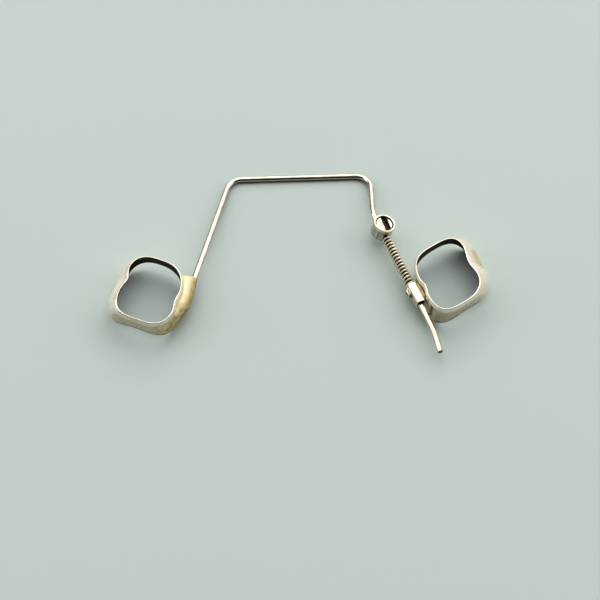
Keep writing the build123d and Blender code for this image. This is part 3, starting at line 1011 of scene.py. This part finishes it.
collarPiece = makeCollar()
smoothShade(collarPiece.data, stopForm["sharpDegrees"])
markRecessShade(collarPiece, inCollarBore)
finishPiece(collarPiece, "stop", "stop_collar")
screwMesh = turnedMesh("screw", screwProfile(), stopCentre, stopAxis, screwForm["segments"])
screwPiece = addPiece("stopSetScrew", screwMesh, [turnedSteel])
cutAway(screwPiece, slotCutter())
smoothShade(screwPiece.data, stopForm["sharpDegrees"])
markRecessShade(screwPiece, belowScrewTop)
finishPiece(screwPiece, "set_screw", "stop_set_screw")
print("stop and screw made")

# Sheath: a tall slotted tube with a small lug, in millimetres along the guide from the stop's middle.
# patchShare is how far round the tube the painted shade patch behind the lug goes, each way.
sheathForm = {
    "start": 10.55, "length": 3.36, "halfWidth": 0.68, "outerHeight": 1.75, "midRise": 0.195,
    "edgeRound": 0.25, "slotWidth": 1.06, "slotHeight": 1.45, "endRound": 0.05, "points": 72,
    "patchLength": 0.4, "patchShare": 0.09, "lugInset": 0.1, "lugLength": 1.4, "lugReach": 0.45,
    "lugHeight": 1.0, "lugBuried": 0.06, "lugRound": 0.16, "lugRoundSteps": 4,
}


# Where a ray at an angle leaves a rounded rectangle about the section's middle
def roundedReach(angle, halfWide, halfHigh, corner):
    direction = Vector((math.cos(angle), math.sin(angle)))
    low, high = 0.0, halfWide + halfHigh
    for _ in range(40):
        middle = (low + high) / 2
        point = direction * middle
        overWide = max(0.0, abs(point.x) - halfWide + corner)
        overHigh = max(0.0, abs(point.y) - halfHigh + corner)
        if Vector((overWide, overHigh)).length <= corner:
            low = middle
        else:
            high = middle
    return direction * low


def makeSheath():
    form = sheathForm
    small = form["endRound"]
    length = form["length"]
    patch = form["lugInset"] + form["lugLength"]
    # rows: place along the tube, and how far from the slot (0) to the outside (1) the row lies
    rows = [(small, 1.0), (patch, 1.0), (patch + form["patchLength"], 1.0), (length - small, 1.0),
            (length - small * 0.3, 0.7), (length, 0.5), (length - small * 0.3, 0.25),
            (length - small, 0.0), (small, 0.0), (small * 0.3, 0.25), (0.0, 0.5), (small * 0.3, 0.7)]
    patchRow, boreRow = 1, 7
    points = []
    for along, share in rows:
        for step in range(form["points"]):
            angle = 2 * math.pi * (step + 0.5) / form["points"]
            outer = roundedReach(angle, form["halfWidth"], form["outerHeight"] / 2, form["edgeRound"])
            inner = roundedReach(angle, form["slotWidth"] / 2, form["slotHeight"] / 2,
                                 form["slotWidth"] / 2)
            place = inner.lerp(outer, share)
            points.append(stopCentre + (guideDir * (form["start"] + along) + guideCheek * place.x
                                        + up * (place.y + form["midRise"])) * mm)
    faces = gridFaces(len(rows), form["points"], looped=True)
    # shade is painted in the bore, and on a flat patch on the tongue side behind the lug
    dark = []
    for face in faces:
        row, step = divmod(face[0], form["points"])
        behindLug = abs(step / form["points"] - 0.5) < form["patchShare"]
        dark.append(1 if row == boreRow or (row == patchRow and behindLug) else 0)
    return meshFrom("sheath", points, faces, dark)


# The lug: a wedge on the tongue side, rounded by a bevel, in the sheath's third material, whose dark olive here is
# painted shade
def makeLug():
    form = sheathForm
    front = form["start"] + form["lugInset"]
    back = front + form["lugLength"]
    inner = form["halfWidth"] - form["lugBuried"]
    outer = form["halfWidth"] + form["lugReach"]
    section = [(front, -inner), (back, -inner), (back, -outer), (front + form["lugReach"], -outer)]
    points = []
    for height in (-form["lugHeight"] / 2, form["lugHeight"] / 2):
        for along, across in section:
            points.append(stopCentre + (guideDir * along + guideCheek * across + up * height) * mm)
    faces = cappedFaces(2, len(section))
    mesh = meshFrom("lug", points, faces, [2] * len(faces))
    shape = bmesh.new()
    shape.from_mesh(mesh)
    bmesh.ops.bevel(shape, geom=shape.edges[:], offset=form["lugRound"] * mm,
                    segments=form["lugRoundSteps"], profile=0.5, affect="EDGES")
    shape.to_mesh(mesh)
    shape.free()
    return mesh


def joinMeshes(first, second):
    shape = bmesh.new()
    shape.from_mesh(first)
    shape.from_mesh(second)
    shape.to_mesh(first)
    shape.free()
    return first


sheathPiece = addPiece("lingualSheath", joinMeshes(makeSheath(), makeLug()),
                       [sheathSteel, recessShade, goldSolder], sharpDegrees=40)
finishPiece(sheathPiece, "right_molar", "lingual_sheath")

# Weld flange: a thin tab that follows the right band behind the sheath
flangeForm = {
    "thickness": 0.1, "buried": 0.02, "frontInset": 0.1, "behind": 1.5, "height": 1.9, "corner": 0.35,
    "columns": 48, "rows": 14,
}
flangeStart = sheathForm["start"] + flangeForm["frontInset"]
flangeLength = sheathForm["length"] - flangeForm["frontInset"] + flangeForm["behind"]
flangeMiddle = stopCentre.z / mm + sheathForm["midRise"]
flangeAhead = (stopCentre - rightBand["seat"]).dot(bandAxes(rightBand)[0]) / mm - flangeStart


# The turn on the tongue side at which the wall is a given distance ahead
def tongueTurn(band, height, ahead):
    low, high = math.pi * 1.02, math.pi * 1.98
    for _ in range(40):
        middle = (low + high) / 2
        if wallPlace(band, height, middle).x < ahead:
            low = middle
        else:
            high = middle
    return (low + high) / 2


def makeFlange():
    form = flangeForm
    columns, rows, corner = form["columns"], form["rows"], form["corner"]
    points = []
    for inset in (form["buried"], -form["thickness"]):
        for column in range(columns):
            along = flangeLength * column / (columns - 1)
            toEnd = min(along, flangeLength - along, corner)
            half = form["height"] / 2 - corner
            half += math.sqrt(max(0.0, corner ** 2 - (corner - toEnd) ** 2))
            for row in range(rows):
                height = flangeMiddle + half * (2 * row / (rows - 1) - 1)
                turn = tongueTurn(rightBand, height, flangeAhead - along)
                points.append(bandPoint(rightBand, height, turn, inset))
    count = columns * rows
    faces = []
    for column in range(columns - 1):
        for row in range(rows - 1):
            a = column * rows + row
            quad = (a, a + 1, a + rows + 1, a + rows)
            faces.append(quad)
            faces.append(tuple(k + count for k in quad))
    border = [column * rows for column in range(columns)]
    border += [(columns - 1) * rows + row for row in range(1, rows)]
    border += [column * rows + rows - 1 for column in range(columns - 2, -1, -1)]
    border += [row for row in range(rows - 2, 0, -1)]
    for step, a in enumerate(border):
        b = border[(step + 1) % len(border)]
        faces.append((a, b, b + count, a + count))
    return meshFrom("flange", points, faces)


# Where the stains and the painted shade start and end on the right band, as on the left one. patch
# and beside are on its cheek side, which starts at cheek. The tongue values are how far across flash
# and painted shade reach.
rightStainsAndShade = {
    "flashRise": (-4.4, -3.6), "flashFall": (0.2, 0.9), "flashTop": (3.2, 3.6), "flashTongue": -3,
    "flashShare": 0.8, "flashRag": (0.6, 0.3), "cheek": (2.0, 3.5),
    "patchRise": (-0.7, 0.4), "patchFall": (2.2, 3.2), "patchFoot": (1.9, 2.6), "patchTop": (3.2, 3.8),
    "patchShare": 0.55,
    "shadeOliveBack": (-5.2, -3.8), "shadeOliveTop": (3.2, 3.9), "shadeOliveShare": 0.75, "shadeOliveRag": (0.7, 0.5),
    "besideRise": (-0.9, 0.3), "besideFall": (2.6, 3.6), "besideFoot": (1.6, 2.3),
    "besideTop": (3.0, 3.7), "besideShare": 0.55,
    "paintedShadeBack": (-4.9, -4.2), "paintedShadeFoot": (0.0, 0.7), "paintedShadeShare": 0.8, "paintedShadeRag": (0.5, 0.1),
    "paintedShadeFootRag": 3, "paintedShadeFlange": (0.12, 0.34), "paintedShadeTongue": -2,
}


# A tint on the cheek side, by the name that its values start with: the gold patch and the painted shade beside the
# groove both use it
def cheekTint(name, place, height, ragged):
    where = rightStainsAndShade
    share = where[name + "Share"] * softEdge(*where["cheek"], place.y)
    share *= window(place.x + ragged, where[name + "Rise"], where[name + "Fall"])
    share *= softEdge(*where[name + "Foot"], height + ragged)
    return share * (1 - softEdge(*where[name + "Top"], height))


# A little solder has run beside the sheath, and there is a pale patch on the cheek side
def rightFlash(place, height, point):
    where = rightStainsAndShade
    ragged = raggedEdge(point, *where["flashRag"])
    if place.y >= where["flashTongue"]:
        return cheekTint("patch", place, height, ragged)
    along = window(place.x, where["flashRise"], where["flashFall"])
    return where["flashShare"] * along * (1 - softEdge(*where["flashTop"], height - ragged))


# Painted olive shade lies along the back wall, and beside the groove on the cheek side
def rightOliveShade(place, height, point):
    where = rightStainsAndShade
    ragged = raggedEdge(point, *where["shadeOliveRag"])
    back = 1 - softEdge(*where["shadeOliveBack"], place.x + ragged)
    back *= where["shadeOliveShare"] * (1 - softEdge(*where["shadeOliveTop"], height))
    return max(back, cheekTint("beside", place, height, ragged))


# Painted shade lies round the flange and along the foot of the back wall
def rightShade(place, height, point):
    where = rightStainsAndShade
    ragged = raggedEdge(point, *where["paintedShadeRag"])
    foot = footShade(rightBand, where, place, height, where["paintedShadeFootRag"] * ragged)
    if place.y >= where["paintedShadeTongue"]:
        return foot
    beyond = abs(flangeAhead - place.x - flangeLength / 2) - flangeLength / 2
    above = abs(height - flangeMiddle) - flangeForm["height"] / 2
    return max(1 - softEdge(*where["paintedShadeFlange"], max(beyond, above) + ragged), foot)


rightBandPiece = makeBand("rightMolarBand", rightBand, {
    "goldFlash": rightFlash, "oliveShade": rightOliveShade, "paintedShade": rightShade})
finishPiece(rightBandPiece, "right_molar", "right_molar_band")
flangePiece = addPiece("sheathWeldFlange", makeFlange(), [sheathSteel], sharpDegrees=40)
finishPiece(flangePiece, "right_molar", "sheath_weld_flange")
print("right band, sheath and flange made")

# Solder seam: a lumpy bead between the sheath's upper edge and the flange
seamForm = {
    "radius": 0.3, "inset": 0.25, "beside": 0.06, "sunk": 0.08, "rings": 40, "points": 20, "lump": 0.05,
    "lumpMm": 0.45, "nosePower": 8, "tip": 0.02, "paleness": 0.3,
}


def makeSeam():
    form = seamForm
    length = sheathForm["length"] - 2 * form["inset"]
    rise = sheathForm["midRise"] + sheathForm["outerHeight"] / 2 - form["sunk"]
    beside = sheathForm["halfWidth"] + form["beside"]
    points = []
    for ring in range(form["rings"]):
        share = ring / (form["rings"] - 1)
        along = sheathForm["start"] + form["inset"] + length * share
        nose = math.sqrt(max(0.0, 1 - (2 * share - 1) ** form["nosePower"]))
        centre = stopCentre + (guideDir * along + guideCheek * beside + up * rise) * mm
        for step in range(form["points"]):
            angle = 2 * math.pi * step / form["points"]
            outwards = guideCheek * math.cos(angle) + up * math.sin(angle)
            spot = (centre + outwards * (form["radius"] * mm)) / (form["lumpMm"] * mm)
            radius = form["radius"] + noise.noise(spot) * form["lump"]
            points.append(centre + outwards * (radius * max(nose, form["tip"]) * mm))
    faces = cappedFaces(form["rings"], form["points"])
    return meshFrom("seam", points, faces, paints={"paleness": [form["paleness"]] * len(points)})


seamPiece = addPiece("sheathSolderSeam", makeSeam(), [goldSolder], sharpDegrees=60)
finishPiece(seamPiece, "right_molar", "sheath_solder_seam")

# Left solder joint: sections behind the wire's entry, each with the cover over the wire, the reach to
# the cheek and the half height, in millimetres. fineLump is the depth and the fineness of small lumps
# beside the large ones. The pale values say how the joint's colour changes round it, paler on top and
# darker below as painted highlight and shade, and towards its back.
solderForm = {
    "entryAhead": 4.43, "wireAcross": 5.15, "wireRadius": 0.45, "rings": 90, "points": 56,
    "lumpMm": 1.1, "lump": 0.035, "fineLump": (0.5, 2.3), "buried": 0.07, "nose": 0.35, "tip": 0.0004,
    "sections": [(-0.25, 0.03, 1.3, 0.6), (0.3, 0.06, 2.7, 1.05), (1.4, 0.12, 2.4, 1.25),
                 (3.2, 0.24, 1.95, 1.35), (5.2, 0.1, 1.9, 1.25), (7.0, -0.5, 2.0, 1.0),
                 (8.5, -1.2, 2.2, 0.65)],
    "paleMiddle": 0.5, "paleCheek": 0.32, "paleTop": 0.42, "paleLeast": 0.14, "backFade": (3.6, 6.0),
    "backLoss": 0.22, "endFade": (6.4, 8.0), "endGain": 0.16,
}


# A smooth value between the sections
def solderAt(back, column):
    sections = solderForm["sections"]
    last = len(sections) - 1
    k = 0
    while k < last - 1 and back > sections[k + 1][0]:
        k += 1
    share = (back - sections[k][0]) / (sections[k + 1][0] - sections[k][0])
    before = sections[max(k - 1, 0)][column]
    here, there = sections[k][column], sections[k + 1][column]
    after = sections[min(k + 2, last)][column]
    slopeHere, slopeThere = (there - before) / 2, (after - here) / 2
    cube, square = share ** 3, share ** 2
    return ((2 * cube - 3 * square + 1) * here + (cube - 2 * square + share) * slopeHere
            + (3 * square - 2 * cube) * there + (cube - square) * slopeThere)


def solderPaleness(back, angle):
    form = solderForm
    high = form["paleMiddle"] + form["paleCheek"] * math.cos(angle) + form["paleTop"] * math.sin(angle)
    pale = max(form["paleLeast"], high) * (1 - form["backLoss"] * softEdge(*form["backFade"], back))
    return pale + form["endGain"] * softEdge(*form["endFade"], back)


def makeSolderJoint():
    form = solderForm
    first, last = form["sections"][0][0], form["sections"][-1][0]
    level = stopCentre.z / mm
    ahead, cheek = bandAxes(leftBand)
    fineDepth, fineness = form["fineLump"]
    points = []
    paleness = []
    for ring in range(form["rings"]):
        back = first + (last - first) * ring / (form["rings"] - 1)
        along = form["entryAhead"] - back
        cover, cheekReach, halfHeight = (solderAt(back, column) for column in (1, 2, 3))
        tongueReach = form["wireRadius"] + cover
        toEnd = min(back - first, last - back)
        nose = math.sqrt(max(form["tip"], 1 - max(0.0, 1 - toEnd / form["nose"]) ** 2))
        middle = -form["wireAcross"] - (tongueReach - cheekReach) / 2
        for step in range(form["points"]):
            angle = 2 * math.pi * step / form["points"]
            across = middle + math.cos(angle) * nose * (tongueReach + cheekReach) / 2
            height = level + math.sin(angle) * nose * halfHeight
            spot = Vector((along, across, height)) / form["lumpMm"]
            lump = noise.noise(spot) + fineDepth * noise.noise(spot * fineness)
            across = middle + (across - middle) * (1 + form["lump"] * lump)
            height = level + (height - level) * (1 + form["lump"] * lump)
            wall = wallPlace(leftBand, height, tongueTurn(leftBand, height, along)).y + form["buried"]
            across = min(across, wall)
            points.append(leftBand["seat"] + (ahead * along + cheek * across + up * height) * mm)
            paleness.append(solderPaleness(back, angle))
    faces = cappedFaces(form["rings"], form["points"])
    return meshFrom("solderJoint", points, faces, paints={"paleness": paleness})


solderPiece = addPiece("leftSolderJoint", makeSolderJoint(), [goldSolder], sharpDegrees=70)
finishPiece(solderPiece, "arch", "left_solder_joint")
print("solder made")

# Floor, just below the part so that the two don't share a plane: half its side is in metres
stageForm = {"floor": "#C4D0CA", "floorRough": 0.9, "floorHalf": 3.0, "floorDropMm": 0.01}


def makeFloor():
    material, tree = newMaterial("paleFloor")
    closeMaterial(tree, hexColour(stageForm["floor"]), stageForm["floorRough"], metallic=0.0)
    half = stageForm["floorHalf"]
    drop = -stageForm["floorDropMm"] * mm
    points = [(-half, -half, drop), (half, -half, drop), (half, half, drop), (-half, half, drop)]
    mesh = meshFrom("floor", points, [(0, 1, 2, 3)])
    floor = addPiece("floor", mesh, [material])


# Soft sky: one broad bright panel high at the front, fading to a dark horizon and a dark back
skyForm = {
    "panelTowards": (0.1, 0.6, 0.79), "strength": 0.98,
    "steps": [(0.0, "#0F0E0C"), (0.5, "#1D1B18"), (0.68, "#F2F2EF"), (1.0, "#FFFFFF")],
}


def makeSky():
    world = bpy.data.worlds.new("softSky")
    bpy.context.scene.world = world
    world.use_nodes = True
    tree = world.node_tree
    tree.nodes.clear()
    place = addNode(tree, "ShaderNodeTexCoord")
    towards = tuple(Vector(skyForm["panelTowards"]).normalized())
    near = addNode(tree, "ShaderNodeVectorMath", {0: place.outputs["Generated"], 1: towards},
                   operation="DOT_PRODUCT")
    sky = addNode(tree, "ShaderNodeValToRGB", {"Fac": near.outputs["Value"]}, stops=skyForm["steps"])
    light = addNode(tree, "ShaderNodeBackground", {
        "Color": sky.outputs["Color"], "Strength": skyForm["strength"]})
    addNode(tree, "ShaderNodeOutputWorld", {"Surface": light.outputs[0]})


# Soft lamps, each at a place in metres and turned to the origin
lightForm = {
    "key": {"place": (0.06, 0.33, 0.44), "size": 0.6, "watts": 1.5, "colour": "#FFFFFF"},
    "left": {"place": (-0.36, 0.05, 0.2), "size": 0.3, "watts": 0.48, "colour": "#FFFFFF"},
    "right": {"place": (0.36, 0.05, 0.2), "size": 0.3, "watts": 0.44, "colour": "#FFFFFF"},
}


def makeLights():
    for name, form in lightForm.items():
        lamp = bpy.data.lights.new(name, "AREA")
        lamp.size = form["size"]
        lamp.energy = form["watts"]
        lamp.color = hexColour(form["colour"])[:3]
        light = bpy.data.objects.new(name, lamp)
        light.location = form["place"]
        light.rotation_euler = (-Vector(form["place"])).to_track_quat("-Z", "Y").to_euler()
        bpy.context.scene.collection.objects.link(light)


# Camera: its aim and its distance from it are in millimetres, what it clips in metres
cameraForm = {
    "aim": (0.017, -6.311, 0.0), "distance": 180.0, "elevation": 60.0, "lens": 73.44, "sensor": 36,
    "nearest": 0.005, "farthest": 20,
}


def makeCamera():
    form = cameraForm
    data = bpy.data.cameras.new("camera")
    data.sensor_width = form["sensor"]
    data.lens = form["lens"]
    data.clip_start = form["nearest"]
    data.clip_end = form["farthest"]
    camera = bpy.data.objects.new("camera", data)
    tilt = math.radians(form["elevation"])
    back = Vector((0, -math.cos(tilt), math.sin(tilt)))
    camera.location = (Vector(form["aim"]) + back * form["distance"]) * mm
    camera.rotation_euler = (-back).to_track_quat("-Z", "Y").to_euler()
    bpy.context.scene.collection.objects.link(camera)
    bpy.context.scene.camera = camera


makeFloor()
makeSky()
makeLights()
makeCamera()
bpy.context.scene.view_settings.view_transform = "Standard"
print("floor, lights and camera made")
